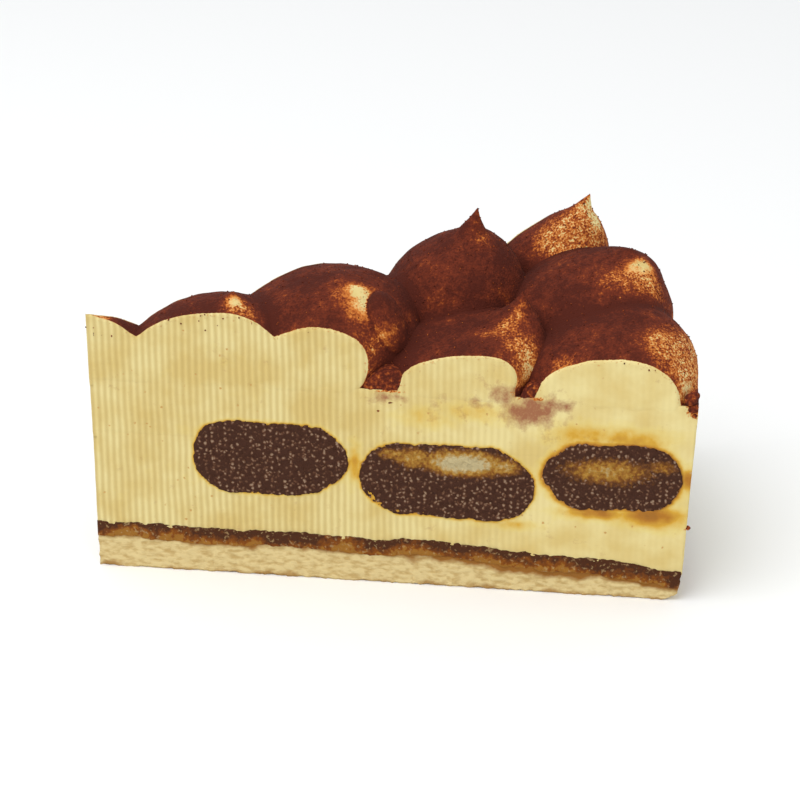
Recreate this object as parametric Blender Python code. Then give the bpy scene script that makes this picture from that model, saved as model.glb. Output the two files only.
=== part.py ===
"""Tiramisu slice: one twelfth of a round layered cake, cut with a knife and stood on its base.

Metres, +Z up. The two cut faces meet at the tip and +X runs from the tip to the rim, half way between them.
The front cut face is the one on the -Y side. The origin lies on the floor, under the middle of the slice.
"""

import math

import bmesh
import bpy
from mathutils import Matrix, Vector, noise

# Driving dimensions of the whole cake that the slice comes from.
CAKE_RADIUS = 0.130
SLICE_COUNT = 12
BASE_TOP = 0.0053
CHOCOLATE_TOP = 0.0093
SEAM_HEIGHT = 0.0340
RIM_HEIGHT = 0.0475
GAP = 0.0003

HALF_ANGLE = math.pi / SLICE_COUNT
TIP_TO_ORIGIN = 0.06555
TOP_LIMIT = 0.100
TOP_REACH = CAKE_RADIUS + 0.013
ROUND_STEPS = 120
MERGE_DISTANCE = 0.000001
SHARP_ANGLE = math.radians(40)

# Radius of the side wall at the bottom and the top of each layer: the cream bulges a little past its base.
BASE_WALL = (0.1283, 0.1287)
CHOCOLATE_WALL = (0.1290, 0.1292)
LOWER_CREAM_WALL = (0.1295, 0.1306)
UPPER_CREAM_WALL = (0.1307, 0.1311)

# Ladyfingers lie side by side across the slice: distance of the middle from the tip, height of the
# middle above the floor, width, thickness and turn about +Z.
LADYFINGERS = {
    "ladyfinger_1": (0.0382, 0.0295, 0.0330, 0.0178, math.radians(-1.5)),
    "ladyfinger_2": (0.0750, 0.0262, 0.0362, 0.0174, math.radians(0.8)),
    "ladyfinger_3": (0.1094, 0.0293, 0.0288, 0.0156, math.radians(0.0)),
}
LADYFINGER_LENGTH = 0.100
LADYFINGER_SQUARENESS = 2.5
LADYFINGER_SIDES = 28
LADYFINGER_RINGS = 12
LADYFINGER_UNEVENNESS = 0.0006
LADYFINGER_SWELL_SPAN = 0.012

# Piped cream. Each row: place along and across the front cut face, radius, height of the dome above the
# flat top, height of its widest ring, place of the drawn-out point along and across, and how far the point
# stands above the dome.
DOLLOPS = {
    "dollop_1": (-0.0035, 0.0010, 0.0155, 0.0140, 0.0050, -0.0010, 0.0015, 0.0008),
    "dollop_2": (0.0250, 0.0045, 0.0168, 0.0170, 0.0050, 0.0300, 0.0055, 0.0018),
    "dollop_3": (0.0488, 0.0172, 0.0210, 0.0198, 0.0050, 0.0530, 0.0155, 0.0008),
    "dollop_4": (0.0798, 0.0105, 0.0162, 0.0118, 0.0030, 0.0908, 0.0140, 0.0050),
    "dollop_5": (0.1125, 0.0105, 0.0195, 0.0130, 0.0005, 0.1160, 0.0140, 0.0004),
    "dollop_6": (0.0758, 0.0335, 0.0172, 0.0240, 0.0050, 0.0808, 0.0335, 0.0055),
    "dollop_7": (0.1030, 0.0305, 0.0185, 0.0203, 0.0050, 0.1138, 0.0335, 0.0012),
    "dollop_8": (0.0950, 0.0530, 0.0147, 0.0215, 0.0050, 0.1040, 0.0510, 0.0052),
}
DOLLOP_SIDES = 26
DOLLOP_RINGS = 15
DOLLOP_FULLNESS = 0.38
UNDERSIDE_DEPTH = 0.0110
POINT_RADIUS = 0.0050
POINT_SHARPNESS = 1.6
DOLLOP_UNEVENNESS = 0.0007
UNEVENNESS_SPAN = 0.014


def clear_scene():
    for obj in list(bpy.data.objects):
        bpy.data.objects.remove(obj)


def new_collection(name):
    collection = bpy.data.collections.new(name)
    bpy.context.scene.collection.children.link(collection)
    return collection


def new_material(name, colour, roughness):
    material = bpy.data.materials.new(name)
    material.use_nodes = True
    shader = material.node_tree.nodes["Principled BSDF"]
    shader.inputs["Base Color"].default_value = (*colour, 1.0)
    shader.inputs["Roughness"].default_value = roughness
    shader.inputs["Metallic"].default_value = 0.0
    return material


def new_object(name, bm, collection, material=None):
    """Turns a bmesh into a named object with its faces pointing outwards."""
    bmesh.ops.recalc_face_normals(bm, faces=bm.faces)
    mesh = bpy.data.meshes.new(name)
    bm.to_mesh(mesh)
    bm.free()
    obj = bpy.data.objects.new(name, mesh)
    collection.objects.link(obj)
    if material:
        mesh.materials.append(material)
    return obj


def beside_front_cut(along, across):
    """World X and Y of a place measured from the tip, along the front cut face and square to it."""
    x = along * math.cos(HALF_ANGLE) + across * math.sin(HALF_ANGLE) - TIP_TO_ORIGIN
    y = across * math.cos(HALF_ANGLE) - along * math.sin(HALF_ANGLE)
    return x, y


def cut_to_wedge(bm):
    """Knife cuts: drops all that lies outside the two faces that meet at the tip, and closes the cuts."""
    for side in (-1, 1):
        outwards = Vector((-math.sin(HALF_ANGLE), side * math.cos(HALF_ANGLE), 0.0))
        cut = bmesh.ops.bisect_plane(
            bm,
            geom=bm.verts[:] + bm.edges[:] + bm.faces[:],
            plane_co=(-TIP_TO_ORIGIN, 0.0, 0.0),
            plane_no=outwards,
            clear_outer=True,
        )
        edges = [e for e in cut["geom_cut"] if isinstance(e, bmesh.types.BMEdge)]
        bmesh.ops.edgenet_fill(bm, edges=edges)
    bmesh.ops.remove_doubles(bm, verts=bm.verts[:], dist=MERGE_DISTANCE)


def add_layer(name, bottom, top, wall, collection, material):
    """A flat layer of the round cake, cut to the slice. Its wall may lean out."""
    bm = bmesh.new()
    bmesh.ops.create_cone(
        bm,
        cap_ends=True,
        segments=ROUND_STEPS,
        radius1=wall[0],
        radius2=wall[1],
        depth=top - bottom,
        matrix=Matrix.Translation((-TIP_TO_ORIGIN, 0.0, (bottom + top) / 2)),
    )
    cut_to_wedge(bm)
    return new_object(name, bm, collection, material)


def ladyfinger_mesh(size, clearance):
    """A sponge finger as a cylinder drawn out to a soft-cornered section, uneven along its length."""
    middle, height, width, thickness, turn = size
    bm = bmesh.new()
    bmesh.ops.create_cone(
        bm,
        cap_ends=True,
        segments=LADYFINGER_SIDES,
        radius1=1.0,
        radius2=1.0,
        depth=LADYFINGER_LENGTH,
        matrix=Matrix.Rotation(math.pi / 2, 4, "X"),
    )
    long_edges = [e for e in bm.edges if abs(e.verts[0].co.y - e.verts[1].co.y) > LADYFINGER_LENGTH / 2]
    bmesh.ops.subdivide_edges(bm, edges=long_edges, cuts=LADYFINGER_RINGS - 1)
    place = Matrix.Translation((middle - TIP_TO_ORIGIN, 0.0, height)) @ Matrix.Rotation(turn, 4, "Z")
    power = 2 / LADYFINGER_SQUARENESS
    for vert in bm.verts:
        angle = math.atan2(vert.co.z, vert.co.x)
        across = math.copysign(abs(math.cos(angle)) ** power, math.cos(angle))
        up = math.copysign(abs(math.sin(angle)) ** power, math.sin(angle))
        here = Vector((middle + across * width / 2, vert.co.y, up * thickness / 2))
        swell = LADYFINGER_UNEVENNESS * noise.noise(here / LADYFINGER_SWELL_SPAN)
        vert.co.x = across * (width / 2 + swell + clearance)
        vert.co.z = up * (thickness / 2 + swell + clearance)
    bm.transform(place)
    return bm


def dollop_mesh(size, clearance):
    """Cream pressed from a round nozzle: a full dome with a narrower foot, drawn over to a point."""
    along, across, radius, height, belly, point_along, point_across, point_height = size
    x, y = beside_front_cut(along, across)
    point_x, point_y = beside_front_cut(point_along, point_across)
    bm = bmesh.new()
    bmesh.ops.create_uvsphere(bm, u_segments=DOLLOP_SIDES, v_segments=DOLLOP_RINGS, radius=1.0)
    for vert in bm.verts:
        around = math.atan2(vert.co.y, vert.co.x)
        down = math.acos(max(-1.0, min(1.0, vert.co.z)))
        down *= 1 - DOLLOP_FULLNESS * (1 - down / math.pi)
        out = math.sin(down) * radius
        if math.cos(down) > 0:
            rise = math.cos(down) * (height - belly)
            share = math.cos(down) ** 2
        else:
            rise = math.cos(down) * UNDERSIDE_DEPTH
            share = 0.0
        near_point = max(0.0, 1 - out / POINT_RADIUS) ** POINT_SHARPNESS
        place = Vector((out * math.cos(around), out * math.sin(around), rise + point_height * near_point))
        place.x += (point_x - x) * share
        place.y += (point_y - y) * share
        uneven = noise.noise(Vector((x + place.x, y + place.y, place.z)) / UNEVENNESS_SPAN)
        level = Vector((math.cos(around), math.sin(around), 0.0))
        outwards = level * math.sin(down) + Vector((0.0, 0.0, math.cos(down)))
        place += outwards * (DOLLOP_UNEVENNESS * uneven * (1 - near_point) + clearance)
        vert.co = Vector((x, y, RIM_HEIGHT + belly)) + place
    return bm


def top_wedge(collection):
    """The space over the flat top of the slice, between the two cuts, that the piped cream is cut to."""
    bottom = RIM_HEIGHT + GAP
    bm = bmesh.new()
    bmesh.ops.create_cone(
        bm,
        cap_ends=True,
        segments=ROUND_STEPS,
        radius1=TOP_REACH,
        radius2=TOP_REACH,
        depth=TOP_LIMIT - bottom,
        matrix=Matrix.Translation((-TIP_TO_ORIGIN, 0.0, (TOP_LIMIT + bottom) / 2)),
    )
    cut_to_wedge(bm)
    return new_object("top_wedge_guide", bm, collection)


def carve(obj, cutter, operation):
    """A cut by the wedge or by a neighbour's print, left on the object as a modifier."""
    modifier = obj.modifiers.new(operation.title() + "_" + cutter.name, "BOOLEAN")
    modifier.operation = operation
    modifier.object = cutter
    modifier.solver = "EXACT"


def drop_scraps(obj):
    """Applies the cuts and keeps the largest piece, as the knife takes loose scraps of cream away."""
    bpy.context.view_layer.update()
    evaluated = obj.evaluated_get(bpy.context.evaluated_depsgraph_get())
    bm = bmesh.new()
    bm.from_mesh(evaluated.to_mesh())
    obj.modifiers.clear()
    left = set(bm.verts)
    islands = []
    while left:
        island, front = set(), [left.pop()]
        while front:
            vert = front.pop()
            island.add(vert)
            near = {e.other_vert(vert) for e in vert.link_edges} & left
            left -= near
            front.extend(near)
        islands.append(island)
    largest = max(islands, key=len)
    loose = [v for island in islands if island is not largest for v in island]
    bmesh.ops.delete(bm, geom=loose, context="VERTS")
    bm.to_mesh(obj.data)
    bm.free()


def smooth(obj):
    """Rounded surfaces shade smooth, and the knife cuts keep their edges."""
    obj.data.shade_smooth()
    obj.data.set_sharp_from_angle(angle=SHARP_ANGLE)


def make_layers(parts, cutters):
    sponge = new_material("baked_sponge", (0.64, 0.49, 0.23), 0.85)
    chocolate = new_material("coffee_chocolate", (0.105, 0.035, 0.012), 0.60)
    cream = new_material("mascarpone_cream", (0.78, 0.62, 0.26), 0.45)
    add_layer("sponge_base", 0.0, BASE_TOP, BASE_WALL, parts, sponge)
    add_layer("coffee_layer", BASE_TOP + GAP, CHOCOLATE_TOP, CHOCOLATE_WALL, parts, chocolate)
    lower = add_layer("lower_cream", CHOCOLATE_TOP + GAP, SEAM_HEIGHT, LOWER_CREAM_WALL, parts, cream)
    upper = add_layer("upper_cream", SEAM_HEIGHT + GAP, RIM_HEIGHT, UPPER_CREAM_WALL, parts, cream)
    for name, size in LADYFINGERS.items():
        groove = new_object(name + "_groove", ladyfinger_mesh(size, GAP), cutters)
        carve(lower, groove, "DIFFERENCE")
        carve(upper, groove, "DIFFERENCE")
    for layer in (lower, upper):
        drop_scraps(layer)


def make_ladyfingers(parts):
    soaked = new_material("soaked_ladyfinger", (0.085, 0.045, 0.026), 0.75)
    for name, size in LADYFINGERS.items():
        bm = ladyfinger_mesh(size, 0.0)
        cut_to_wedge(bm)
        smooth(new_object(name, bm, parts, soaked))


def make_dollops(parts, cutters):
    cocoa = new_material("cocoa_dusted_cream", (0.115, 0.030, 0.013), 0.95)
    wedge = top_wedge(cutters)
    piped_before = []
    for name, size in reversed(DOLLOPS.items()):
        dollop = new_object(name, dollop_mesh(size, 0.0), parts, cocoa)
        carve(dollop, wedge, "INTERSECT")
        for neighbour, place, reach in piped_before:
            if math.dist(size[:2], place) < size[2] + reach:
                carve(dollop, neighbour, "DIFFERENCE")
        print_cutter = new_object(name + "_print", dollop_mesh(size, GAP), cutters)
        piped_before.append((print_cutter, size[:2], size[2]))
        drop_scraps(dollop)
        smooth(dollop)


def main():
    clear_scene()
    parts = new_collection("tiramisu_slice")
    cutters = new_collection("cutters")
    make_layers(parts, cutters)
    make_ladyfingers(parts)
    make_dollops(parts, cutters)
    for cutter in cutters.objects:
        cutter.hide_render = True
        cutter.display_type = "WIRE"


main()
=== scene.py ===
# Tiramisu slice: how the cut cream, soaked sponge fingers and cocoa look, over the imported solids.
import math
import random

import bpy
import numpy as np
from mathutils import Euler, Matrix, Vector
from mathutils.bvhtree import BVHTree
from mathutils.kdtree import KDTree


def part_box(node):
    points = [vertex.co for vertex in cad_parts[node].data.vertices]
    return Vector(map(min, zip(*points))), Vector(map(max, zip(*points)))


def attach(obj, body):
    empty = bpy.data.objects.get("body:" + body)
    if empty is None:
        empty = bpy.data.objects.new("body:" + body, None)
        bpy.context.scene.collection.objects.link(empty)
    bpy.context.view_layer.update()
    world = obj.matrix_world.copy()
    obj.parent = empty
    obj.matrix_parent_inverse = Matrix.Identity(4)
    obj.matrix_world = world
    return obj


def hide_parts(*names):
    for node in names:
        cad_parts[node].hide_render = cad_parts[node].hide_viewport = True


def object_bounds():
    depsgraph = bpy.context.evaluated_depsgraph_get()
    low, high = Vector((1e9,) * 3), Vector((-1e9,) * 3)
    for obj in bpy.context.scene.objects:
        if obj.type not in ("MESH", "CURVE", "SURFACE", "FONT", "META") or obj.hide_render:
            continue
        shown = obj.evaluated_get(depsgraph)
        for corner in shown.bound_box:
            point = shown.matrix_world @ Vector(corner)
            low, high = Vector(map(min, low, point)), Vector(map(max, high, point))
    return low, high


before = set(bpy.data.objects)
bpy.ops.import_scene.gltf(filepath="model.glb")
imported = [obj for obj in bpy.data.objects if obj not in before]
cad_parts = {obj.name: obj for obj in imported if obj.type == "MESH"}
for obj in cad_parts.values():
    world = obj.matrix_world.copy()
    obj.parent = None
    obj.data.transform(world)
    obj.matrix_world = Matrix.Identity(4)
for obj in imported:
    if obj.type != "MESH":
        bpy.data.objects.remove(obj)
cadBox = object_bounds()
mm = 0.001

# Where the slice's own parts lie, read from the frame.
portions = 12
halfAngle = math.pi / portions
tipX = cadBox[0].x
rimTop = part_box("upper_cream")[1].z
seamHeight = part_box("upper_cream")[0].z
wallRadius = 130.9 * mm
cutTolerance = 0.001 * mm
print("frame loaded, rim at", round(rimTop / mm, 1), "mm")


# Tools for shaping

def nothingSelected():
    bpy.ops.object.select_all(action="DESELECT")


def newPiece(name):
    # names the primitive that was just added, and puts its place into its mesh
    piece = bpy.context.object
    piece.name = name
    piece.data.name = name
    bpy.ops.object.transform_apply(location=True, rotation=True, scale=True)
    return piece


def pick(piece, kind, test):
    # selects each vertex, or each edge, whose ends' places pass the test, and stays in edit mode
    bpy.ops.object.mode_set(mode="EDIT")
    bpy.ops.mesh.select_mode(type=kind)
    bpy.ops.mesh.select_all(action="DESELECT")
    bpy.ops.object.mode_set(mode="OBJECT")
    verts = piece.data.vertices
    if kind == "VERT":
        for vert in verts:
            vert.select = test(vert.co)
    else:
        for edge in piece.data.edges:
            edge.select = test(*(verts[i].co for i in edge.vertices))
    bpy.ops.object.mode_set(mode="EDIT")


def pull(piece, awayFrom, slack, move, reach, falloff="SMOOTH"):
    # drags the nearest places, as awayFrom measures it, and what lies within reach of them
    nearest = min(awayFrom(vert.co) for vert in piece.data.vertices)
    pick(piece, "VERT", lambda co: awayFrom(co) < nearest + slack)
    bpy.ops.transform.translate(value=move, use_proportional_edit=True, proportional_edit_falloff=falloff,
                                proportional_size=reach)
    bpy.ops.object.mode_set(mode="OBJECT")


def applyModifier(piece, kind, **settings):
    modifier = piece.modifiers.new(kind.lower(), kind)
    for name, value in settings.items():
        setattr(modifier, name, value)
    bpy.context.view_layer.objects.active = piece
    bpy.ops.object.modifier_apply(modifier=modifier.name)


def cutToSlice(proud):
    # the two knife cuts; proud holds them a hair outside the solid's own
    bpy.ops.object.mode_set(mode="EDIT")
    for side in (-1, 1):
        outwards = Vector((-math.sin(halfAngle), side * math.cos(halfAngle), 0))
        bpy.ops.mesh.select_all(action="SELECT")
        bpy.ops.mesh.bisect(
            plane_co=Vector((tipX, 0, 0)) + outwards * proud,
            plane_no=outwards,
            use_fill=True,
            threshold=cutTolerance,
            clear_outer=True,
        )
    bpy.ops.object.mode_set(mode="OBJECT")


def remeshTo(piece, step):
    piece.data.remesh_voxel_size = step
    bpy.ops.object.voxel_remesh()


def roughen(piece, kind, grain, depth, where="", level=0.5, direction="NORMAL"):
    # grain is the size of the lumps, depth the height from their lowest to their highest
    texture = bpy.data.textures.new(piece.name + "_" + kind.lower(), type=kind)
    texture.noise_scale = grain
    applyModifier(piece, "DISPLACE", texture=texture, strength=depth, mid_level=level,
                  direction=direction, vertex_group=where)


def places(piece, kind="co"):
    values = np.empty(len(piece.data.vertices) * 3)
    piece.data.vertices.foreach_get(kind, values)
    return values.reshape(-1, 3)


def surfaceTree(piece):
    faces = [tuple(polygon.vertices) for polygon in piece.data.polygons]
    return BVHTree.FromPolygons(places(piece).tolist(), faces)


def outsideCut(co):
    # how far each place stands outside the nearer knife cut; inside the slice it is negative
    return np.abs(co[:, 1]) * math.cos(halfAngle) - (co[:, 0] - tipX) * math.sin(halfAngle)


def outwards(co):
    # the direction that leaves the slice square to the nearer knife cut
    side = np.where(co[:, 1] > 0, 1.0, -1.0)
    across = side * math.cos(halfAngle)
    return np.stack([np.full(len(co), -math.sin(halfAngle)), across, np.zeros(len(co))], axis=1)


def movePlaces(piece, co):
    piece.data.vertices.foreach_set("co", co.ravel())
    piece.data.update()


def keepInside(piece):
    # nothing stands out past the tip or the rim wall, or goes under the floor
    co = places(piece)
    away = np.hypot(co[:, 0] - tipX, co[:, 1])
    pull = wallRadius / np.maximum(away, wallRadius)
    co[:, 0] = np.maximum(co[:, 0], tipX)
    co[:, 0] = tipX + (co[:, 0] - tipX) * pull
    co[:, 1] *= pull
    co[:, 2] = np.maximum(co[:, 2], 0)
    movePlaces(piece, co)


footDip = {"depth": 0.5 * mm, "cutSkin": 1.0 * mm}


def dipFoot(piece, height, reach):
    # the foot of a cut face dips under the next piece's own, so that no line shows between them
    co = places(piece)
    dip = np.clip((height - co[:, 2]) / reach, 0, 1) * footDip["depth"]
    dip[outsideCut(co) < -footDip["cutSkin"]] = 0
    movePlaces(piece, co - outwards(co) * dip[:, None])


def groupWhere(piece, name, chosen):
    group = piece.vertex_groups.new(name=name)
    group.add(np.flatnonzero(chosen).tolist(), 1.0, "REPLACE")


def paint(piece, name, values):
    layer = piece.data.attributes.new(name, "FLOAT", "POINT")
    layer.data.foreach_set("value", values.astype(np.float32))


def attributeValues(piece, name):
    values = np.empty(len(piece.data.vertices))
    piece.data.attributes[name].data.foreach_get("value", values)
    return values


def fromTip(along, across):
    # a place measured from the tip, along the front cut and square to it
    x = along * math.cos(halfAngle) + across * math.sin(halfAngle) + tipX
    y = across * math.cos(halfAngle) - along * math.sin(halfAngle)
    return x, y


def alongCut(co):
    # distance from the tip along a cut face
    return (co[:, 0] - tipX) / math.cos(halfAngle)


def stains(co, spots):
    # each spot: face -1 front or 1 back, along the cut, height, reach along and up, strength
    total = np.zeros(len(co))
    along = alongCut(co)
    for face, middle, height, reachAlong, reachUp, strength in spots:
        away = ((along - middle * mm) / (reachAlong * mm)) ** 2
        away += ((co[:, 2] - height * mm) / (reachUp * mm)) ** 2
        amount = np.exp(-away) * strength
        amount[co[:, 1] * face < 0] = 0
        total = np.maximum(total, amount)
    return total


def finishPiece(piece, material, slotName, *nodes):
    nothingSelected()
    piece.select_set(True)
    bpy.context.view_layer.objects.active = piece
    bpy.ops.object.shade_smooth()
    piece.data.materials.clear()
    piece.data.materials.append(material)
    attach(piece, "root")
    if nodes:
        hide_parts(*nodes)
    return piece


# Tools for materials

def linearColour(hexValue):
    # sRGB hex to the linear colour that sockets take
    channels = [int(hexValue[start:start + 2], 16) / 255 for start in (1, 3, 5)]
    linear = [c / 12.92 if c <= 0.04045 else ((c + 0.055) / 1.055) ** 2.4 for c in channels]
    return linear + [1.0]


def addNode(tree, kind, inputs=(), output=0, stops=None, **settings):
    # adds one node and gives the socket that comes out of it; inputs are values or the sockets to link, as a
    # list in the node's own order or a dictionary
    node = tree.nodes.new("ShaderNode" + kind)
    for name, value in settings.items():
        setattr(node, name, value)
    for name, value in inputs.items() if isinstance(inputs, dict) else enumerate(inputs):
        if isinstance(value, bpy.types.NodeSocket):
            tree.links.new(value, node.inputs[name])
        else:
            node.inputs[name].default_value = value
    if stops:
        ramp = node.color_ramp
        while len(ramp.elements) < len(stops):
            ramp.elements.new(1.0)
        for element, (position, colour) in zip(ramp.elements, stops):
            element.position = position
            element.color = linearColour(colour)
    return node.outputs[output]


def addUp(tree, start, shares, clamp=False):
    # the start and every share, each times its weight
    total = start
    for share, weight in shares:
        total = addNode(tree, "Math", [share, weight, total], operation="MULTIPLY_ADD")
    total.node.use_clamp = clamp
    return total


def multiplied(tree, first, *others):
    total = first
    for other in others:
        total = addNode(tree, "Math", [total, other], operation="MULTIPLY")
    return total


def coated(tree, colour, coats):
    # lays each coat over the colours below it, as far as its amount says
    for amount, coat in coats:
        if isinstance(coat, str):
            coat = linearColour(coat)
        colour = addNode(tree, "Mix", {0: amount, 6: colour, 7: coat}, 2, data_type="RGBA")
    return colour


def newMaterial(name, roughness, specular=0.5):
    material = bpy.data.materials.new(name)
    material.use_nodes = True
    tree = material.node_tree
    shader = tree.nodes["Principled BSDF"]
    shader.inputs["Roughness"].default_value = roughness
    shader.inputs["Metallic"].default_value = 0.0
    shader.inputs["IOR"].default_value = 1.45
    shader.inputs["Specular IOR Level"].default_value = specular
    return material, tree, shader


def finishMaterial(tree, shader, colour, height, depth, strength=0.8):
    # depth is how deep the relief would be for a height of 1
    tree.links.new(colour, shader.inputs["Base Color"])
    bump = addNode(tree, "Bump", {"Height": height, "Distance": depth, "Strength": strength})
    tree.links.new(bump, shader.inputs["Normal"])


# Materials. A noise is given by the size of its patches and how finely they are broken up. An edge is given
# by the values between which something sets in, and then how much of it shows at either one.
creamLook = {
    "fresh": "#e1d092", "deep": "#d4bb76", "roughness": 0.5, "specular": 0.2,
    "noise": {"mottles": (9 * mm, 4), "soakPatches": (2.2 * mm, 4), "smearPatches": (3 * mm, 5)},
    # the next colour is painted shade that darkens the grooves of the knife's comb marks
    "combShading": "#b39656", "combSpacing": 1.4 * mm, "combFades": (50 * mm, 100 * mm, 1, 0.12), "combShadeShows": 0.48,
    "pore": "#c59a58", "poreSpacing": 3.4 * mm, "poreRim": 0.22, "poreEdge": (0.20, 0.15),
    "soak": [(0.14, "#dec565"), (0.38, "#cf9f30"), (0.60, "#ab6c12"), (0.85, "#74400f")],
    "soakStart": -0.30, "soakUneven": 0.3, "soakEdge": (0.06, 0.40, 0, 0.95),
    "smear": "#94553b", "smearStart": -1.15, "smearUneven": 2.0, "smearGrain": 0.5,
    "smearEdge": (0.42, 1.25, 0, 0.92),
    "wall": "#e8dfbd", "wallDeep": "#dccfa0", "wallEdge": (128.9 * mm, 129.4 * mm),
    "cutRagged": 0.35 * mm, "cutEdge": (-0.22 * mm, -0.10 * mm),
    "relief": 0.35 * mm, "reliefStrength": 0.7, "combRelief": -0.35, "poreRelief": -0.25,
}
cocoaLook = {
    "thin": "#de8a3e", "patchy": "#994a1c", "settled": "#6c2c18", "heaped": "#4d1d11",
    "roughness": 0.92, "specular": 0.2,
    # real cocoa is ten times finer than these grains, which are as fine as the render shows
    "noise": {"grains": (0.45 * mm, 2), "clumps": (1.5 * mm, 3), "blotches": (7 * mm, 3)},
    # the valley weight thickens cocoa in the creases: gathered cocoa and painted crease shade both
    "facingUp": (-0.45, 0.55, -1.25, -0.41), "valleyCocoaAndShade": 0.5,
    "blotched": 0.9, "clumped": 0.8, "speckled": 0.8, "edge": (0.02, 0.24),
    "hazeStart": -0.74, "hazeClumped": 0.72, "hazeSpeckled": 1.4,
    "draggedStart": -1.0, "draggedSpeckled": 1.2,
    "rimRagged": 1.5 * mm, "rimEdge": (0.3 * mm, -0.1 * mm),
}
bandWidth = 0.314  # of a wave texture's bands at a scale of 1


def creamMaterial():
    # Mascarpone cream whipped with egg yolk: dense, pale yellow, satin where a wet knife cut it. Cocoa that
    # was sifted on top lies thick on what faces up, thin and orange on flanks, and not at all on the cuts.
    cream, cocoa = creamLook, cocoaLook
    material, tree, shader = newMaterial("mascarpone_under_cocoa", cream["roughness"], cream["specular"])
    place = addNode(tree, "TexCoord", output="Object")
    along, across, height = [addNode(tree, "SeparateXYZ", [place], axis) for axis in "XYZ"]
    noise = {name: addNode(tree, "TexNoise", {"Vector": place, "Scale": 1 / size, "Detail": detail})
             for name, (size, detail) in (cream["noise"] | cocoa["noise"]).items()}
    grains = noise["grains"]
    painted = {name: addNode(tree, "Attribute", output="Fac", attribute_name=name)
               for name in ("bareCream", "valley", "thinCocoa", "rubbed", "soaked", "cocoaSmear")}

    # the knife cuts, found the way outsideCut does, with a ragged edge
    sideways = addNode(tree, "Math", [across], operation="ABSOLUTE")
    cutDistance = addUp(tree, tipX * math.sin(halfAngle), [
        (along, -math.sin(halfAngle)), (sideways, math.cos(halfAngle)), (grains, cream["cutRagged"])])
    onCut = addNode(tree, "MapRange", [cutDistance, *cream["cutEdge"]])
    offCut = addNode(tree, "Math", [1.0, onCut], operation="SUBTRACT")

    # the rim wall was pressed against the tin: no cocoa, smoother and paler
    level = addNode(tree, "VectorMath", [place, (1.0, 1.0, 0.0)], operation="MULTIPLY")
    radius = addNode(tree, "VectorMath", [level, (tipX, 0.0, 0.0)], "Value", operation="DISTANCE")
    outside = addNode(tree, "MapRange", [radius, *cream["wallEdge"]])
    rim = addUp(tree, height, [(grains, cocoa["rimRagged"])])
    underRim = addNode(tree, "MapRange", [rim, *(rimTop + edge for edge in cocoa["rimEdge"])])
    onWall = multiplied(tree, outside, underRim)
    offWall = addNode(tree, "Math", [1.0, onWall], operation="SUBTRACT")

    # cocoa: how thick it lies where it fell, where it is only a haze, and where the knife dragged it
    facing = addNode(tree, "NewGeometry", output="Normal")
    upwards = addNode(tree, "SeparateXYZ", [facing], "Z")
    lying = addNode(tree, "MapRange", [upwards, *cocoa["facingUp"]])
    # in the creases cocoa is painted thicker, for gathered cocoa and painted crease shade both
    dusted = addUp(tree, lying, [
        (painted["valley"], cocoa["valleyCocoaAndShade"]), (painted["bareCream"], -1.0), (grains, cocoa["speckled"]),
        (noise["blotches"], cocoa["blotched"]), (noise["clumps"], cocoa["clumped"])], True)
    haze = addUp(tree, cocoa["hazeStart"], [
        (grains, cocoa["hazeSpeckled"]), (noise["clumps"], cocoa["hazeClumped"]),
        (painted["bareCream"], -1.0)], True)
    sifted = addNode(tree, "Mix", {0: painted["thinCocoa"], 2: dusted, 3: haze})
    rubbed = multiplied(tree, painted["rubbed"], onCut)
    dragged = addUp(tree, cocoa["draggedStart"], [(grains, cocoa["draggedSpeckled"]), (rubbed, 1.0)], True)
    cocoaAmount = addUp(tree, dragged, [(sifted, multiplied(tree, offCut, offWall))])
    cocoaColour = addNode(tree, "ValToRGB", [cocoaAmount], stops=[
        (0.18, cocoa["thin"]), (0.42, cocoa["patchy"]), (0.60, cocoa["settled"]), (0.95, cocoa["heaped"])])
    cocoaShows = addNode(tree, "MapRange", [cocoaAmount, *cocoa["edge"]])

    # cream: comb marks of the knife, fading towards the rim, their grooves darkened with painted shade, and
    # small pores
    combShading = addNode(tree, "TexWave", {
        "Vector": place, "Scale": bandWidth / cream["combSpacing"], "Distortion": 1.2, "Detail": 1.0,
        "Detail Scale": 0.4}, "Fac")
    fadeStart, fadeEnd, *fades = cream["combFades"]
    combFade = addNode(tree, "MapRange", [along, tipX + fadeStart, tipX + fadeEnd, *fades])
    combReliefAndShade = multiplied(tree, combShading, combFade, onCut)
    pores = addNode(tree, "TexVoronoi", {"Vector": place, "Scale": 1 / cream["poreSpacing"]})
    poreRim = addUp(tree, pores, [(grains, cream["poreRim"])])
    pits = addNode(tree, "MapRange", [poreRim, *cream["poreEdge"]])

    # coffee that the cream has drawn out of the fingers, and the brown smear under two dollops
    soakAmount = addUp(tree, cream["soakStart"], [
        (noise["soakPatches"], cream["soakUneven"]), (noise["blotches"], cream["soakUneven"]),
        (painted["soaked"], 1.0)], True)
    soakColour = addNode(tree, "ValToRGB", [soakAmount], stops=cream["soak"])
    soakShows = addNode(tree, "MapRange", [soakAmount, *cream["soakEdge"]])
    smear = addUp(tree, cream["smearStart"], [
        (noise["smearPatches"], cream["smearUneven"]), (painted["cocoaSmear"], 1.0)], True)
    smear = addUp(tree, smear, [(grains, cream["smearGrain"])])
    smearShows = addNode(tree, "MapRange", [smear, *cream["smearEdge"]])

    creamColour = addNode(tree, "ValToRGB", [noise["mottles"]],
                          stops=[(0.35, cream["deep"]), (0.62, cream["fresh"])])
    wallColour = addNode(tree, "ValToRGB", [noise["mottles"]],
                         stops=[(0.35, cream["wallDeep"]), (0.60, cream["wall"])])
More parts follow.
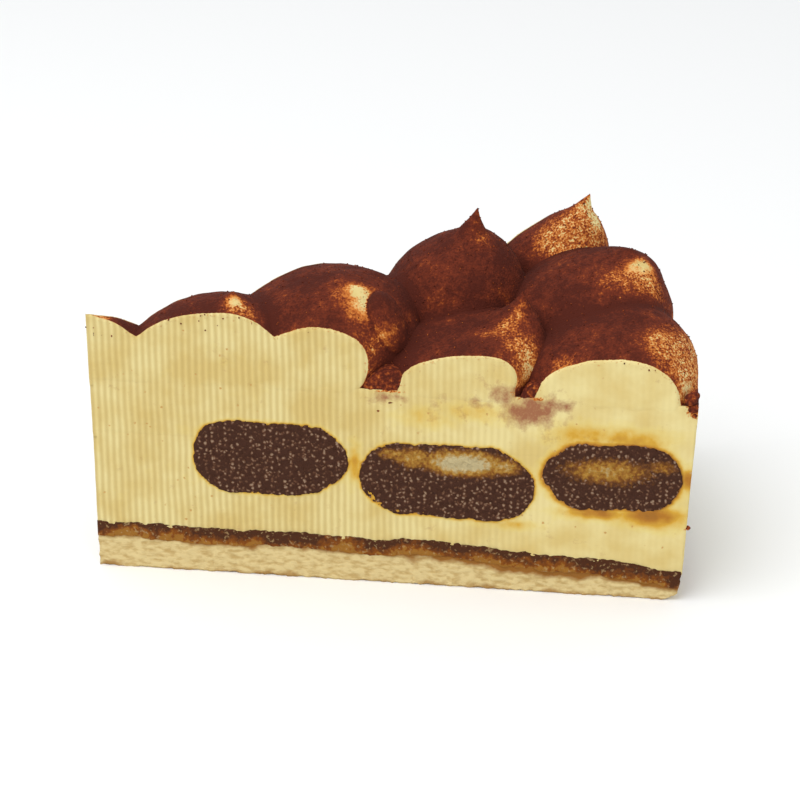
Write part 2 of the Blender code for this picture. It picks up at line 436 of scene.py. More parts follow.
    # the first coat is painted shade in the grooves of the comb marks
    colour = coated(tree, creamColour, [
        (multiplied(tree, combReliefAndShade, cream["combShadeShows"]), cream["combShading"]), (soakShows, soakColour),
        (smearShows, cream["smear"]), (pits, cream["pore"]), (multiplied(tree, onWall, offCut), wallColour),
        (cocoaShows, cocoaColour)])
    roughness = addNode(tree, "MapRange", [cocoaShows, 0, 1, cream["roughness"], cocoa["roughness"]])
    tree.links.new(roughness, shader.inputs["Roughness"])
    # grains of cocoa stand up, comb marks and pores are cut in
    relief = addUp(tree, 0.0, [
        (grains, cocoaShows), (pits, cream["poreRelief"]), (combReliefAndShade, cream["combRelief"])])
    finishMaterial(tree, shader, colour, relief, cream["relief"], cream["reliefStrength"])
    return material


spongeLook = {
    "crumb": "#dac48d", "pore": "#bfa269", "crumbSize": 0.9 * mm, "stretch": (0.35, 1.0, 1.0),
    "waveSize": 5 * mm, "waves": 0.8, "baked": "#a0763c", "bakedEdge": (0.52, 0.38, 0, 0.8),
    "soaked": "#8f5a1c", "soakedEdge": (1.08, 1.30, 0, 0.95), "relief": 0.5 * mm,
}


def spongeMaterial():
    # Thin baked sponge: dry, pale yellow crumb full of small holes, a little browned where it met the tin,
    # stained by coffee from above.
    look = spongeLook
    material, tree, shader = newMaterial("baked_sponge_crumb", 0.85, 0.2)
    place = addNode(tree, "TexCoord", output="Object")
    rise = addNode(tree, "Attribute", output="Fac", attribute_name="rise")
    lengthwise = addNode(tree, "VectorMath", [place, look["stretch"]], operation="MULTIPLY")
    crumbs = addNode(tree, "TexNoise", {"Vector": lengthwise, "Scale": 1 / look["crumbSize"], "Detail": 5})
    waves = addNode(tree, "TexNoise", {"Vector": place, "Scale": 1 / look["waveSize"], "Detail": 3})
    wavyRise = addUp(tree, rise, [(waves, look["waves"])])
    colour = addNode(tree, "ValToRGB", [crumbs], stops=[(0.34, look["pore"]), (0.56, look["crumb"])])
    for name in ("baked", "soaked"):
        amount = addNode(tree, "MapRange", [wavyRise, *look[name + "Edge"]])
        colour = coated(tree, colour, [(amount, look[name])])
    finishMaterial(tree, shader, colour, crumbs, look["relief"])
    return material


coffeeLook = {
    "wet": "#4a2712", "dark": "#693812", "amber": "#84490f", "pale": "#966525",
    "crumbSize": 1.1 * mm, "crumbs": 1.6, "waveSize": 8 * mm, "waves": -2.6, "start": 0.5,
    "speck": "#ad8f62", "speckSize": 0.8 * mm, "speckEdge": (0.58, 0.70, 0, 0.6), "relief": 0.6 * mm,
}


def coffeeMaterial():
    # Sponge crumb drowned in espresso and melted chocolate: nearly black on top, amber where it thins below.
    look = coffeeLook
    material, tree, shader = newMaterial("espresso_soaked_crumb", 0.55, 0.15)
    place = addNode(tree, "TexCoord", output="Object")
    rise = addNode(tree, "Attribute", output="Fac", attribute_name="rise")
    crumbs, waves, specks = [
        addNode(tree, "TexNoise", {"Vector": place, "Scale": 1 / look[name + "Size"], "Detail": detail})
        for name, detail in (("crumb", 5), ("wave", 3), ("speck", 2))]
    share = addUp(tree, look["start"], [(crumbs, look["crumbs"]), (rise, 1.0), (waves, look["waves"])])
    colour = addNode(tree, "ValToRGB", [share], stops=[
        (0.0, look["pale"]), (0.12, look["amber"]), (0.44, look["dark"]), (0.72, look["wet"])])
    speckShows = addNode(tree, "MapRange", [specks, *look["speckEdge"]])
    colour = coated(tree, colour, [(speckShows, look["speck"])])
    finishMaterial(tree, shader, colour, crumbs, look["relief"])
    return material


fingerLook = {
    # the glint colour is a painted highlight on the cell walls
    "soaked": "#432619", "wall": "#664430", "glint": "#967c66",
    "amber": "#84501a", "gold": "#ac7f34", "dry": "#bcab80", "dryEdge": (0.15, 0.4),
    "pore": 0.95 * mm, "swirl": 1.5 * mm, "warp": 1.1 * mm, "fine": 0.9 * mm,
    "combed": -0.16, "mottled": 0.5, "cellRelief": 0.9, "relief": 0.6 * mm,
}


def fingerMaterial():
    # Savoiardi soaked in coffee: an open, springy crumb whose thin cell walls carry painted highlights
    # between dark, wet holes. Where the coffee never reached it stays pale, with a gold border.
    look = fingerLook
    material, tree, shader = newMaterial("coffee_soaked_savoiardi", 0.6, 0.15)
    place = addNode(tree, "TexCoord", output="Object")
    swirl = addNode(tree, "TexNoise", {"Vector": place, "Scale": 1 / look["swirl"]}, "Color")
    swirled = addNode(tree, "VectorMath", [swirl, [look["warp"]] * 3, place], operation="MULTIPLY_ADD")
    cells = addNode(tree, "TexVoronoi", {"Vector": swirled, "Scale": 1 / look["pore"]})
    fine = addNode(tree, "TexNoise", {"Vector": place, "Scale": 1 / look["fine"], "Detail": 4})
    # the knife's comb marks line the painted highlights up in columns
    combShading = addNode(tree, "TexWave", {"Vector": place, "Scale": bandWidth / creamLook["combSpacing"]}, "Fac")
    combed = addUp(tree, cells, [(combShading, look["combed"]), (fine, look["mottled"])])
    wetColour = addNode(tree, "ValToRGB", [combed], stops=[
        (0.27, look["glint"]), (0.45, look["wall"]), (0.64, look["soaked"])])
    dryness = addNode(tree, "Attribute", output="Fac", attribute_name="dryness")
    dryAmount = addUp(tree, -0.25, [(fine, 0.5), (dryness, 1.0)], True)
    dryTone = addUp(tree, -0.3, [(fine, 0.6), (dryAmount, 1.0)], True)
    dryColour = addNode(tree, "ValToRGB", [dryTone], stops=[
        (0.30, look["amber"]), (0.60, look["gold"]), (0.92, look["dry"])])
    dryShows = addNode(tree, "MapRange", [dryAmount, *look["dryEdge"]])
    colour = coated(tree, wetColour, [(dryShows, dryColour)])
    cellWalls = addUp(tree, fine, [(cells, look["cellRelief"])])
    finishMaterial(tree, shader, colour, cellWalls, look["relief"])
    return material


def grainMaterial():
    # loose cocoa: dry, matte, the same brown as the thickest dust
    material, tree, shader = newMaterial("loose_cocoa", 0.95, cocoaLook["specular"])
    place = addNode(tree, "TexCoord", output="Object")
    tones = addNode(tree, "TexNoise", {"Vector": place, "Scale": 1 / (0.8 * mm), "Detail": 3})
    colour = addNode(tree, "ValToRGB", [tones], stops=[
        (0.42, cocoaLook["heaped"]), (0.54, cocoaLook["settled"]), (0.66, cocoaLook["patchy"]),
        (0.76, cocoaLook["thin"])])
    tree.links.new(colour, shader.inputs["Base Color"])
    return material


creamUnderCocoa = creamMaterial()
spongeCrumb = spongeMaterial()
coffeeCrumb = coffeeMaterial()
soakedSponge = fingerMaterial()
looseCocoa = grainMaterial()
print("materials ready")


# Ladyfingers: sponge fingers lying across the slice, cut through by both cuts.
ladyfingers = {
    # turn is in degrees. Each nudge presses the section in: where, as shares of its half width and height,
    # and then how far along, how far up and over which reach, in mm. Dry spots are listed as stains are. The
    # halo is how far coffee spread from the finger into the cream, and how strongly.
    "ladyfinger_1": {
        "turn": -1.5, "halo": (0.50 * mm, 0.52),
        "nudges": [(0.8, 1.0, -2.0, -2.2, 10), (0.8, -1.0, -2.4, 2.6, 10)],
        "dry": [(1, 40, 31, 7, 3, 0.75)]},
    "ladyfinger_2": {
        "turn": 0.8, "halo": (0.50 * mm, 0.55),
        "nudges": [(-0.85, -0.95, 1.6, 1.6, 8), (0.9, 0.9, -1.0, -1.0, 6)],
        "dry": [(-1, 81.5, 31.0, 8.0, 2.7, 1.25), (-1, 90.0, 30.6, 4.0, 2.0, 0.7), (1, 74, 27.5, 9, 2.6, 0.7),
                (-1, 70.5, 31.6, 4.5, 2.6, 0.62), (-1, 65.5, 32.3, 3.0, 1.6, 0.5)]},
    "ladyfinger_3": {
        "turn": 0.0, "halo": (1.0 * mm, 0.68),
        "nudges": [(0.9, -0.9, 0.2, 0.6, 8), (-0.9, -0.9, 0.8, 0.8, 8), (-0.9, 0.9, 0.4, -0.6, 7)],
        "dry": [(-1, 112.5, 31.0, 9.5, 3.2, 0.58), (-1, 124, 32.6, 4, 1.8, 0.40),
                (1, 116, 30.5, 9, 3.2, 1.1)]},
}
fingerShape = {
    "length": 100 * mm, "corner": 0.495, "cornerSteps": 8, "coarse": 1.2 * mm, "skin": 0.45 * mm,
    "proud": 0.12 * mm, "lump": 9 * mm, "wobble": 1.5 * mm, "cutSkin": 0.9 * mm, "crumb": 1.1 * mm,
    "crumbDepth": 0.5 * mm, "pore": 1.6 * mm, "poreDepth": 0.5 * mm, "pocketGap": 0.35 * mm,
}


def fingerForm(node, name, shrink):
    shape = fingerShape
    low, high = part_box(node)
    middle = (low + high) / 2
    width = high.x - low.x - 2 * shrink
    thickness = high.z - low.z - 2 * shrink
    nothingSelected()
    bpy.ops.mesh.primitive_cube_add(
        size=1, location=(middle.x, 0, middle.z), scale=(width, shape["length"], thickness),
        rotation=(0, 0, math.radians(ladyfingers[node]["turn"])))
    finger = newPiece(name)
    pick(finger, "EDGE", lambda start, end: abs(start.y - end.y) > shape["length"] / 2)
    bpy.ops.mesh.bevel(offset=thickness * shape["corner"], segments=shape["cornerSteps"], affect="EDGES")
    bpy.ops.object.mode_set(mode="OBJECT")
    for shareX, shareZ, moveX, moveZ, reach in ladyfingers[node]["nudges"]:
        corner = (middle.x + shareX * width / 2, middle.z + shareZ * thickness / 2)
        move = (moveX * mm, 0, moveZ * mm)
        pull(finger, lambda co: math.dist((co.x, co.z), corner), 1 * mm, move, reach * mm)
    remeshTo(finger, shape["coarse"])
    roughen(finger, "CLOUDS", shape["lump"], shape["wobble"])
    return finger


def makeLadyfinger(node):
    shape = fingerShape
    finger = fingerForm(node, "soaked_" + node, 0)
    cutToSlice(shape["proud"])
    remeshTo(finger, shape["skin"])
    groupWhere(finger, "cutFace", outsideCut(places(finger)) > -shape["cutSkin"])
    roughen(finger, "CLOUDS", shape["crumb"], shape["crumbDepth"], where="cutFace")
    roughen(finger, "VORONOI", shape["pore"], shape["poreDepth"], where="cutFace", level=0.45)
    paint(finger, "dryness", stains(places(finger), ladyfingers[node]["dry"]))
    return finishPiece(finger, soakedSponge, "soaked_ladyfinger", node)


cutFingers = [makeLadyfinger(fingerNode) for fingerNode in ladyfingers]
print("ladyfingers soaked and cut")


# Flat layers of the round cake, from the bottom up.
layerShapes = {
    # wall: radius at the bottom and the top; reach: how far it runs on into the layers under and over it;
    # rounded: how far its lower outer edge is rounded off
    "sponge_base": {"wall": (128.4 * mm, 128.8 * mm), "reach": (0, 0.9 * mm), "skin": 0.55 * mm,
                    "proud": 0.0, "rounded": 4.0 * mm},
    "coffee_layer": {"wall": (128.9 * mm, 129.3 * mm), "reach": (0.1 * mm, 0.1 * mm), "skin": 0.46 * mm,
                     "proud": 0.16 * mm, "rounded": 0},
    "lower_cream": {"wall": (129.5 * mm, 130.6 * mm), "reach": (0.9 * mm, 0.0), "skin": 0.54 * mm,
                    "proud": 0.0, "rounded": 0},
    "upper_cream": {"wall": (130.55 * mm, 131.1 * mm), "reach": (2.2 * mm, 0.0), "skin": 0.54 * mm,
                    "proud": 0.03 * mm, "rounded": 0},
}
roundSteps = 240
roundedSteps = 4
# the soaked layer lies higher towards the tip and sinks towards the rim; what lies within full heights of it
# is carried along, and less so up to the last height
sag = {"left": 1.8 * mm, "right": -2.0 * mm, "starts": 72 * mm, "ends": 130 * mm, "power": 1.3,
       "waves": 0.35 * mm, "wave": 5.5 * mm, "full": (4.5 * mm, 10 * mm), "last": 16 * mm}


def sagLayers(piece):
    co = places(piece)
    along = alongCut(co)
    share = np.clip((along - sag["starts"]) / (sag["ends"] - sag["starts"]), 0, 1) ** sag["power"]
    shift = sag["left"] + (sag["right"] - sag["left"]) * share + sag["waves"] * np.sin(along / sag["wave"])
    low, high = sag["full"]
    carried = np.clip(co[:, 2] / low, 0, 1) * np.clip((sag["last"] - co[:, 2]) / (sag["last"] - high), 0, 1)
    co[:, 2] += shift * carried
    movePlaces(piece, co)


def layerForm(node):
    shape = layerShapes[node]
    low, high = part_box(node)
    bottom = low.z - shape["reach"][0]
    top = high.z + shape["reach"][1]
    bottomRadius, topRadius = shape["wall"]
    nothingSelected()
    bpy.ops.mesh.primitive_cylinder_add(
        vertices=roundSteps, radius=bottomRadius, depth=top - bottom, location=(tipX, 0, (bottom + top) / 2))
    layer = newPiece(node + "_cut")
    if shape["rounded"]:
        pick(layer, "EDGE", lambda start, end: max(start.z, end.z) < (bottom + top) / 2)
        bpy.ops.mesh.bevel(offset=shape["rounded"], segments=roundedSteps, affect="EDGES")
        bpy.ops.object.mode_set(mode="OBJECT")
    pick(layer, "VERT", lambda co: co.z > (bottom + top) / 2)
    spread = topRadius / bottomRadius
    bpy.ops.transform.resize(value=(spread, spread, 1), center_override=(tipX, 0, top))
    bpy.ops.object.mode_set(mode="OBJECT")
    cutToSlice(shape["proud"])
    return layer


def carvePockets(layer):
    # the fingers lie in hollows of the cream, each a little smaller than the finger so that no gap shows
    for node in ladyfingers:
        pocket = fingerForm(node, "pocket", fingerShape["pocketGap"])
        applyModifier(layer, "BOOLEAN", operation="DIFFERENCE", object=pocket, solver="EXACT")
        bpy.data.objects.remove(pocket)
    nothingSelected()
    layer.select_set(True)
    bpy.context.view_layer.objects.active = layer


# coffee drawn into the cream round the fingers, the smear under two dollops, and cocoa rubbed over an edge
creamStains = {
    "soaked": [(-1, 122, 20.8, 9, 3.0, 0.68), (-1, 111, 20.6, 10, 1.8, 0.58), (-1, 107, 39.3, 9, 3.2, 0.42),
               (-1, 118, 38.8, 10, 3.4, 0.44), (-1, 129.8, 30, 2.4, 3.0, 0.66), (-1, 92, 16.5, 7, 1.6, 0.3),
               (-1, 57.8, 29.5, 1.6, 5, 0.45), (-1, 84, 43.5, 9, 3.0, 0.28), (-1, 73, 41.5, 8, 3.0, 0.24),
               (1, 60, 19, 12, 1.6, 0.5), (1, 104, 19.5, 10, 1.8, 0.55), (1, 128, 28, 3, 4, 0.5)],
    "cocoaSmear": [(-1, 95.5, 44.4, 7.0, 3.6, 1.35), (-1, 90.0, 47.6, 4.2, 3.2, 1.0),
                   (-1, 101.5, 46.0, 4.0, 2.2, 1.0), (-1, 86, 45.5, 5, 2.2, 0.6),
                   (-1, 65.5, 45.8, 5.0, 1.2, 0.8), (-1, 78, 43.0, 8, 2.6, 0.30),
                   (-1, 110, 38.8, 6, 1.0, 0.3), (1, 63, 46, 4, 1.2, 0.7)],
    "rubbed": [(-1, 93.0, 48.5, 2.5, 2.0, 0.55), (-1, 97.2, 47.4, 2.0, 0.5, 0.8),
               (-1, 65.5, 47.3, 4.0, 0.4, 0.8), (-1, 130.2, 47.0, 2.0, 2.4, 0.9),
               (-1, 130.0, 18.0, 0.8, 0.8, 0.7)],
}
haloSkin = 1.5 * mm


def fingerHalo(co):
    # coffee spread into the cream: strongest at a finger's own surface, fading within the halo's reach; only
    # the cut faces show it
    halo = np.zeros(len(co))
    onCut = outsideCut(co) > -haloSkin
    for finger, look in zip(cutFingers, ladyfingers.values()):
        reach, strength = look["halo"]
        tree = surfaceTree(finger)
        edge = places(finger)
        margin = 3 * reach
        near = np.all((co > edge.min(axis=0) - margin) & (co < edge.max(axis=0) + margin), axis=1) & onCut
        for i in np.flatnonzero(near):
            distance = tree.find_nearest(co[i].tolist(), margin)[3]
            if distance is not None:
                halo[i] = max(halo[i], strength * math.exp(-distance / reach))
    return halo


# lumps, coarse then fine: their size and how high they stand; for the sponge also how much they stand out
lumps = {
    "cream": [(12 * mm, 0.35 * mm), (2.5 * mm, 0.14 * mm)],
    "sponge": [(5 * mm, 0.5 * mm, 0.6), (1.3 * mm, 0.7 * mm, 0.62)],
}
creamFoot = {"under": 0.8 * mm, "reach": 1.2 * mm}
# less coffee comes down into the sponge towards the tip: from where, and how much less at which heights
spongeDry = {"from": 95 * mm, "to": 55 * mm, "amount": 0.22, "lowest": 0.4, "full": 0.7}
spongeSides = {"skin": 0.8 * mm, "above": 3.5 * mm}


def makeCream(node):
    layer = layerForm(node)
    carvePockets(layer)
    remeshTo(layer, layerShapes[node]["skin"])
    if node == "lower_cream":
        sagLayers(layer)
    for size, height in lumps["cream"]:
        roughen(layer, "CLOUDS", size, height)
    if node == "upper_cream":
        dipFoot(layer, seamHeight - creamFoot["under"], creamFoot["reach"])
    co = places(layer)
    paint(layer, "soaked", np.maximum(fingerHalo(co), stains(co, creamStains["soaked"])))
    for name in ("cocoaSmear", "rubbed"):
        paint(layer, name, stains(co, creamStains[name]))
    return finishPiece(layer, creamUnderCocoa, "mascarpone_cream", node)


def makeSponge():
    layer = layerForm("sponge_base")
    remeshTo(layer, layerShapes["sponge_base"]["skin"])
    co = places(layer)
    rise = co[:, 2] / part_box("sponge_base")[1].z
    dry = np.clip((spongeDry["from"] - alongCut(co)) / (spongeDry["from"] - spongeDry["to"]), 0, 1)
    upper = np.clip((rise - spongeDry["lowest"]) / (spongeDry["full"] - spongeDry["lowest"]), 0, 1)
    paint(layer, "rise", rise - spongeDry["amount"] * dry * upper)
    sagLayers(layer)
    co = places(layer)
    groupWhere(layer, "sides", (outsideCut(co) > -spongeSides["skin"]) | (co[:, 2] > spongeSides["above"]))
    for size, height, level in lumps["sponge"]:
        roughen(layer, "CLOUDS", size, height, where="sides", level=level)
    keepInside(layer)
    return finishPiece(layer, spongeCrumb, "baked_sponge", "sponge_base")


def makeCoffee():
    layer = layerForm("coffee_layer")
    remeshTo(layer, layerShapes["coffee_layer"]["skin"])
    low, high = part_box("coffee_layer")
    paint(layer, "rise", np.clip((places(layer)[:, 2] - low.z) / (high.z - low.z), 0, 1))
    sagLayers(layer)
    roughen(layer, "CLOUDS", 6 * mm, 1.4 * mm, direction="Z")
    roughen(layer, "CLOUDS", 1.6 * mm, 0.9 * mm)
    keepInside(layer)
    return finishPiece(layer, coffeeCrumb, "coffee_chocolate", "coffee_layer")


makeSponge()
makeCoffee()
makeCream("lower_cream")
upperCream = makeCream("upper_cream")
print("layers stacked")


# Piped dollops: the same places and sizes as the solids, in mm. lean is where the point ends. Each tip pulls
# the point on, along, across and up, within a reach. A lobe bulges at its place, so far out and up, within a
# reach. A fold is a point that fell onto the flank: its place and half its own size. Spots have a place, a
# reach and a strength: cocoa is missing on bare ones, or thicker where that is negative, and orange on thin
# ones. Some spots on dollops 4 and 7 are painted highlights as well.
dollops = {
    "dollop_1": {
        "place": (-3.5, 1.0), "radius": 15.5, "height": 13.8, "belly": 5.0, "lean": (-1.0, 1.5),
        "tips": [(0.5, 0, 0.8, 5)],
        "bare": [(3.0, 0.5, 60, 3, 0.3)],
        "thin": [(2.0, 1.0, 60, 4, 0.8)]},
    "dollop_2": {
        "place": (25.0, 4.5), "radius": 16.8, "height": 16.6, "belly": 5.0, "lean": (30.0, 5.5),
        "tips": [(0.6, 0, 0.8, 8), (0.6, 0, 1.6, 3.2)],
        "bare": [(31.5, 4.0, 64.5, 1.6, 0.7)],
        "thin": [(32.0, 3.0, 63.5, 3.0, 1.0), (34.5, 2.0, 61.0, 2.6, 0.8)]},
    "dollop_3": {
        "place": (48.6, 17.2), "radius": 20.8, "height": 19.0, "belly": 5.0, "lean": (53.0, 15.5),
        "tips": [(1.0, 0, 0.6, 8)],
        "fold": (63.9, 8.8, 59.4, 3.4, 6.0, 7.2),
        "bare": [(57.6, 8.6, 61.2, 3.9, 1.6), (56.8, 11.0, 64.2, 2.8, 0.9),
                 (65.0, 4.0, 51.0, 5.0, -0.7)],
        "thin": [(57.5, 7.5, 59.5, 4.8, 1.0), (61.0, 3.0, 54.5, 4.0, 0.9), (52.5, 9.5, 64.5, 3.0, 0.6)]},
    "dollop_4": {
        "place": (79.4, 10.5), "radius": 16.3, "height": 11.8, "belly": 3.0, "lean": (91.6, 14.2),
        "tips": [(0.3, 0, 4.0, 8), (0.6, 0, 3.0, 4)],
        "lobe": (94.0, 10.0, 55.0, 1.4, 0.6, 7),
        "bare": [(92.8, 11.0, 64.5, 1.8, 0.8), (94.5, 5.0, 52.0, 3.4, 0.4), (67.0, 6.0, 50.0, 5.0, -0.5)],
        # these thin spots, running down to the left from the point, are thin cocoa and a painted highlight on
        # its lit lower side
        "thin": [(91.5, 10.0, 62.5, 2.6, 1.0), (88.0, 8.5, 60.5, 2.6, 0.9), (84.0, 7.0, 60.0, 2.2, 0.9),
                 (80.5, 6.5, 59.7, 2.0, 0.7), (92.5, 5.0, 56.0, 4.8, 1.0)]},
    "dollop_5": {
        "place": (111.4, 12.2), "radius": 19.3, "height": 14.0, "belly": 0.5, "lean": (116.0, 15.0),
        "tips": [(0.5, 0, 0.4, 6)],
        "bare": [(129.5, 1.5, 50.5, 3.0, 0.5)],
        "thin": [(127.0, 6.0, 54.0, 6.5, 1.0), (122.0, 7.0, 58.5, 4.5, 0.9), (130.0, 14.0, 54.0, 7.0, 1.0),
                 (102.0, 0.0, 55.0, 3.4, 0.9), (106.0, 0.0, 58.5, 2.6, 0.6), (117.0, 0.0, 61.0, 2.6, 0.6)]},
    "dollop_6": {
        "place": (75.0, 33.5), "radius": 16.7, "height": 22.8, "belly": 5.0, "lean": (78.8, 33.5),
        "tips": [(0.4, 0, 1.4, 8), (1.6, 0, 5.2, 4.4)],
        "bare": [(91.5, 27.0, 66.0, 1.6, 0.4)],
        "thin": [(81.5, 31.0, 69.5, 2.4, 0.9), (91.5, 27.0, 66.0, 2.2, 0.9)]},
    "dollop_7": {
        "place": (103.2, 30.5), "radius": 18.9, "height": 20.0, "belly": 4.0, "lean": (113.0, 33.0),
        "tips": [(1.5, 0, 1.2, 6)],
        "lobe": (121.2, 31.0, 54.0, 1.6, 0.0, 8),
        # these bare spots, and the thin ones under them, are bare cream and a painted highlight on the folded
        # point
        "bare": [(117.5, 29.5, 66.0, 2.6, 1.0), (114.5, 28.0, 66.2, 1.6, 0.6)],
        "thin": [(113.5, 25.0, 63.5, 4.0, 1.0), (118.5, 26.0, 62.5, 4.0, 1.0),
                 (109.5, 24.0, 64.0, 2.6, 0.7)]},
    "dollop_8": {
        "place": (93.8, 53.0), "radius": 14.9, "height": 19.6, "belly": 5.0, "lean": (100.4, 51.0),
        "tips": [(1.8, 0, 3.8, 11), (2.2, 0, 3.2, 4.5)],
        "bare": [(106.5, 50.0, 72.0, 2.2, 0.8), (107.5, 49.0, 68.5, 2.2, 0.5)],
        "thin": [(103.0, 46.0, 66.0, 7.5, 1.2), (97.5, 43.5, 64.0, 5.0, 0.9),
                 (105.0, 49.0, 70.0, 4.0, 0.8)]},
}
dollopShape = {
    "sides": 40, "rings": 24, "underside": 18.0 * mm, "sunk": 2.8 * mm, "skin": 0.42 * mm,
    "leanReach": 0.85, "broadTip": 7, "lump": 14 * mm, "wobble": 1.2 * mm, "fine": 3.2 * mm,
    "fineDepth": 0.25 * mm, "footUnder": 0.9 * mm, "footReach": 1.6 * mm, "valleyReach": 3.0 * mm,
    "foldTilt": -22, "foldEdge": 1.08, "foldDust": -0.6, "foldDustFades": 4 * mm,
    # cut faces stand this far out, each a step more: two in one plane would shade each other
    "proud": 0.05 * mm, "proudStep": 0.02 * mm,
}


def pullTip(piece, move, reach, falloff):
    # pulls the highest place along, with what lies within reach of it
    co = places(piece)
    top = Vector(co[np.argmax(co[:, 2])])
    pull(piece, lambda co: (co - top).length, 0.4 * mm, move, reach, falloff)


def addFold(dollop, fold):
    along, across, height, *halves = [value * mm for value in fold]
    x, y = fromTip(along, across)
    nothingSelected()
    bpy.ops.mesh.primitive_uv_sphere_add(
        segments=dollopShape["sides"], ring_count=dollopShape["rings"], radius=1, location=(x, y, height),
        scale=halves, rotation=(0, math.radians(dollopShape["foldTilt"]), -halfAngle))
    newPiece("fold")
    dollop.select_set(True)
    bpy.context.view_layer.objects.active = dollop
    bpy.ops.object.join()


def makeDollop(node, number):
    size = dollops[node]
    shape = dollopShape
    radius = size["radius"] * mm
    middleX, middleY = fromTip(size["place"][0] * mm, size["place"][1] * mm)
    pointX, pointY = fromTip(size["lean"][0] * mm, size["lean"][1] * mm)
    bellyHeight = rimTop + size["belly"] * mm
    rise = (size["height"] - size["belly"]) * mm
    centre = (middleX, middleY, bellyHeight)
    nothingSelected()
    bpy.ops.mesh.primitive_uv_sphere_add(
        segments=shape["sides"], ring_count=shape["rings"], radius=radius, location=centre)
    dollop = newPiece("piped_" + node)
    nearlyLevel = 0.05 * mm
    pick(dollop, "VERT", lambda co: co.z > bellyHeight + nearlyLevel)
    bpy.ops.transform.resize(value=(1, 1, rise / radius), center_override=centre)
    pick(dollop, "VERT", lambda co: co.z < bellyHeight - nearlyLevel)
    bpy.ops.transform.resize(value=(1, 1, shape["underside"] / radius), center_override=centre)
    bpy.ops.object.mode_set(mode="OBJECT")
    leanReach = (radius + rise) * shape["leanReach"]
    pullTip(dollop, (pointX - middleX, pointY - middleY, 0), leanReach, "SMOOTH")
    applyModifier(dollop, "SUBSURF", levels=2, render_levels=2)
    for along, across, up, reach in size["tips"]:
        x, y = fromTip(along * mm, across * mm)
        falloff = "SMOOTH" if reach > shape["broadTip"] else "SHARP"
        pullTip(dollop, (x - tipX, y, up * mm), reach * mm, falloff)
    if "lobe" in size:
        along, across, height, outward, up, reach = [value * mm for value in size["lobe"]]
        start = Vector((*fromTip(along, across), height))
        pull(dollop, lambda co: (co - start).length, 0.3 * mm, (outward, 0, up), reach)
    if "fold" in size:
        addFold(dollop, size["fold"])
    roughen(dollop, "CLOUDS", shape["lump"], shape["wobble"])
    cutToSlice(shape["proud"] + shape["proudStep"] * number)
    bpy.ops.object.mode_set(mode="EDIT")
    bpy.ops.mesh.select_all(action="SELECT")
    bpy.ops.mesh.bisect(plane_co=(0, 0, rimTop - shape["sunk"]), plane_no=(0, 0, -1), use_fill=True,
                        threshold=cutTolerance, clear_outer=True)
    bpy.ops.object.mode_set(mode="OBJECT")
    remeshTo(dollop, shape["skin"])
    roughen(dollop, "CLOUDS", shape["fine"], shape["fineDepth"])
    dipFoot(dollop, rimTop - shape["footUnder"], shape["footReach"])
    return dollop


# a crease is filled by up to its reach over flatness, and less near the tip
valleys = {"flatness": 4, "fromTip": 8 * mm, "cutSkin": 1.2 * mm}
rubbing = {"strength": 0.42, "fades": 1.5 * mm, "cutSkin": 0.15 * mm, "edge": 0.8 * mm, "above": 1 * mm,
           "hidden": 0.5, "nowhere": 1.0}


def fillValleys(pieces, others, reach):
    # cream closes the creases where two dollops were piped against each other: a surface swells as it nears
    # the next one, and cocoa is painted thicker and darker there, for gathered cocoa and painted crease shade
    # both
    trees = {}
    for piece in pieces + others:
        co = places(piece)
        trees[piece.name] = (surfaceTree(piece), co.min(axis=0), co.max(axis=0))
    swollen = {}
    for piece in pieces:
        co = places(piece)
        near = np.zeros(len(co))
        for name, (tree, low, high) in trees.items():
            if name == piece.name:
                continue
            for i in np.flatnonzero(np.all((co > low - reach) & (co < high + reach), axis=1)):
                distance = tree.find_nearest(co[i].tolist(), reach)[3]
                if distance is not None:
                    near[i] = max(near[i], 1 - distance / reach)
        atTip = np.clip(alongCut(co) / valleys["fromTip"], 0, 1)
        swell = places(piece, "normal") * (atTip * near ** 2 * reach / valleys["flatness"])[:, None]
        onCut = outsideCut(co) > -valleys["cutSkin"]
        away = outwards(co)
        swell[onCut] -= away[onCut] * np.sum(swell[onCut] * away[onCut], axis=1)[:, None]
        swollen[piece.name] = (co + swell, near)
    for piece in pieces:
        co, near = swollen[piece.name]
        movePlaces(piece, co)
        paint(piece, "valley", near ** 2)


def rubbedEdge(piece):
    # the knife drags a little cocoa down from the edge of the cut
    co = places(piece)
    outside = outsideCut(co)
    onCut = outside > -rubbing["cutSkin"]
    shown = attributeValues(piece, "valley") <= rubbing["hidden"]
    exposed = ~onCut & shown & (outside > -rubbing["edge"]) & (co[:, 2] > rimTop + rubbing["above"])
    edge = np.flatnonzero(exposed)
    tree = KDTree(len(edge))
    for i in edge:
        tree.insert(co[i].tolist(), int(i))
    tree.balance()
    away = np.full(len(co), rubbing["nowhere"])
    for i in np.flatnonzero(onCut):
        away[i] = tree.find(co[i].tolist())[2]
    return rubbing["strength"] * np.exp(-away / rubbing["fades"])


def underFold(co, fold):
    # where a fallen point covers the flank
    x, y = fromTip(fold[0] * mm, fold[1] * mm)
    turn = np.array(Euler((0, math.radians(dollopShape["foldTilt"]), -halfAngle)).to_matrix())
    inside = (co - (x, y, fold[2] * mm)) @ turn / (np.array(fold[3:]) * mm)
    return np.linalg.norm(inside, axis=1) < dollopShape["foldEdge"]


def bareness(co, spots):
    total = np.zeros(len(co))
    for along, across, height, reach, strength in spots:
        x, y = fromTip(along * mm, across * mm)
        away = np.linalg.norm(co - np.array((x, y, height * mm)), axis=1) / (reach * mm)
        total += strength * np.exp(-away ** 2)
    return total


